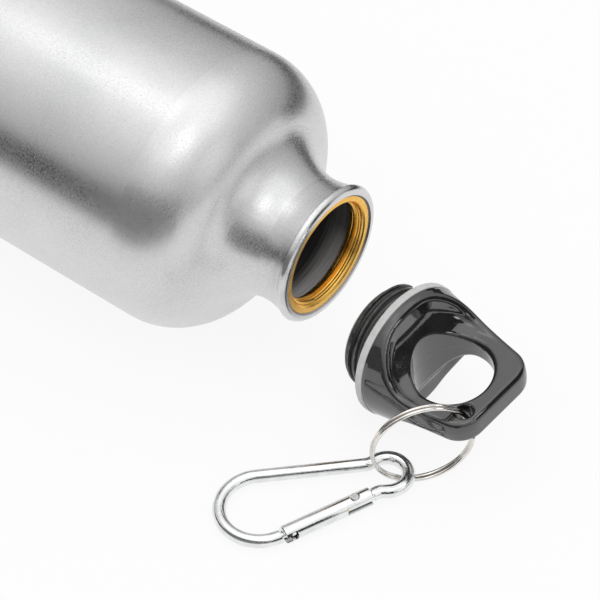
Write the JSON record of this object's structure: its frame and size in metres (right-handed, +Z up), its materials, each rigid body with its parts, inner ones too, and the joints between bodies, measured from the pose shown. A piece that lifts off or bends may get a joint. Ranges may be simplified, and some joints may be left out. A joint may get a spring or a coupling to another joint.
{
  "type": "drinking canteen with loop cap",
  "caption": "Aluminium drinking bottle lying on its side with its screw cap off; the cap's finger loop holds a split ring and a snap hook.",
  "frame": {"origin": "centre of the bottle's foot, on the plane of the ring that it stands on", "axes": "+X along the bottle to its mouth; +Z up as the bottle lies on the ground; +Y to the side away from the snap hook"},
  "size_m": [0.2256, 0.0874, 0.0661],
  "materials": {
    "bottle_aluminium": "satin",
    "insert_gold": "satin",
    "cap_black": "gloss",
    "plug_black": "matt",
    "seal_grey": "matt",
    "ring_steel": "polished",
    "hook_aluminium": "polished",
    "pin_steel": "polished",
    "spring_steel": "satin",
    "plunger_brass": "satin"
  },
  "bodies": {
    "bottle": {"bottle_shell": "bottle_aluminium", "neck_thread_insert": "insert_gold"},
    "seal": {"cap_seal": "seal_grey"},
    "cap": {"cap_body": "cap_black", "cap_screw_plug": "plug_black"},
    "ring": {"split_ring": "ring_steel"},
    "hook": {"carabiner_frame": "hook_aluminium", "gate_pin": "pin_steel"},
    "gate": {"carabiner_gate": "hook_aluminium", "gate_spring": "spring_steel"},
    "plunger": {"gate_plunger": "plunger_brass"}
  },
  "joints": [
    {"name": "cap_carry", "type": "hinge", "parent": "bottle", "child": "seal", "pos_m": [0.22884, -0.09177, 0.00869], "axis": [0.7524, 0.387, 0.5331], "range_deg": [0, 11.74]},
    {"name": "cap_turn", "type": "hinge", "parent": "seal", "child": "cap", "pos_m": [0.1993, 0.0012, -0.0171], "axis": [-0.9909, 0.1024, -0.0872], "range_deg": [0, 900]},
    {"name": "ring_swing", "type": "hinge", "parent": "cap", "child": "ring", "pos_m": [0.22049, -0.0078, -0.01619], "axis": [-0.1009, -0.1382, 0.9853], "range_deg": [-5, 90]},
    {"name": "carabiner_swing", "type": "hinge", "parent": "ring", "child": "hook", "pos_m": [0.21241, -0.01689, -0.03005], "axis": [-0.8251, 0.565, 0], "range_deg": [0, 60]},
    {"name": "gate_open", "type": "hinge", "parent": "hook", "child": "gate", "pos_m": [0.20898, -0.03093, -0.03052], "axis": [0.0196, 0.0286, -0.9994], "range_deg": [0, 28], "stiffness_Nm_per_rad": 0.01, "springref_deg": -28.65},
    {"name": "plunger_slide", "type": "slide", "parent": "gate", "child": "plunger", "axis": [-0.3936, -0.9186, -0.034], "range_m": [0, 0.0005]}
  ],
  "couplings": [
    {"joint": "plunger_slide", "follows": "gate_open", "m_per_rad": 0.0009}
  ]
}
